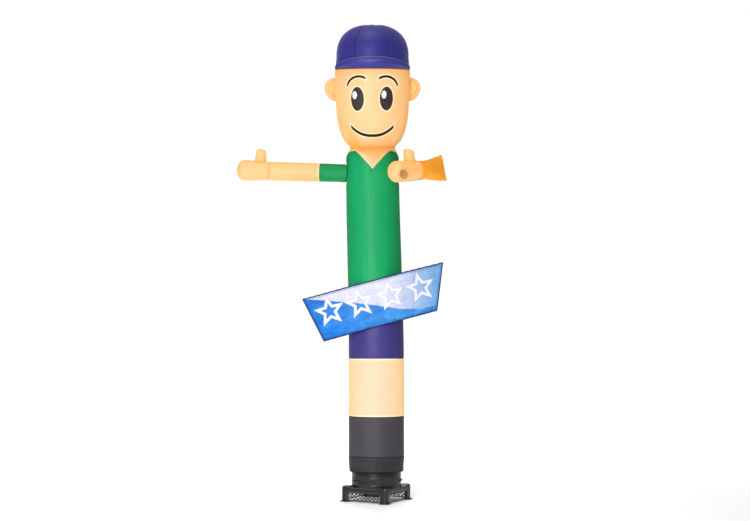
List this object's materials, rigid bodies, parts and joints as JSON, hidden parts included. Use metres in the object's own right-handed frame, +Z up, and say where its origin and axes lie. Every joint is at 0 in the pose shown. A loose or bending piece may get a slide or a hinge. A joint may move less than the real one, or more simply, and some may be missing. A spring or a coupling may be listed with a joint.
{
  "type": "inflatable air dancer on its blower",
  "caption": "Sewn nylon tube figure that stands inflated on a square fan base, with a peaked cap, one straight arm, one folded arm and a banner at its waist.",
  "frame": {"origin": "on the ground, under the middle of the whole object's box", "axes": "+Z up along the standing tube; the figure looks along -Y, and its straight arm points along -X"},
  "size_m": [2.1858, 1.0308, 4.9217],
  "materials": {
    "cuff_cloth": "dull woven nylon",
    "boot_cloth": "dull woven nylon",
    "skin_cloth": "satin coated nylon with printed colour",
    "shorts_cloth": "satin coated nylon",
    "shirt_cloth": "satin coated nylon",
    "cap_cloth": "satin coated nylon",
    "banner_cloth": "thin printed polyester",
    "frame_plastic": "textured moulded plastic",
    "duct_plastic": "smooth moulded plastic",
    "grille_plastic": "textured moulded plastic",
    "motor_casing": "painted casing",
    "bracket_steel": "painted steel strip"
  },
  "bodies": {
    "root": {"cuff": "cuff_cloth", "boot_panel": "boot_cloth", "leg_panel": "skin_cloth", "shorts_panel": "shorts_cloth", "shirt_panel": "shirt_cloth", "neck_insert": "skin_cloth", "head_panel": "skin_cloth", "cap_gore_1": "cap_cloth", "cap_gore_2": "cap_cloth", "cap_gore_3": "cap_cloth", "cap_gore_4": "cap_cloth", "cap_gore_5": "cap_cloth", "cap_gore_6": "cap_cloth", "visor": "cap_cloth", "ear_left": "skin_cloth", "ear_right": "skin_cloth", "sleeve_left": "shirt_cloth", "sleeve_right": "shirt_cloth", "forearm_left": "skin_cloth", "forearm_right": "skin_cloth", "hand_left": "skin_cloth", "hand_right": "skin_cloth", "thumb_left": "skin_cloth", "thumb_right": "skin_cloth", "banner": "banner_cloth", "base_frame": "frame_plastic", "grille_1": "grille_plastic", "grille_2": "grille_plastic", "grille_3": "grille_plastic", "grille_4": "grille_plastic", "duct": "duct_plastic", "motor": "motor_casing", "motor_bracket": "bracket_steel", "handle_left": "frame_plastic", "handle_right": "frame_plastic"}
  },
  "joints": []
}
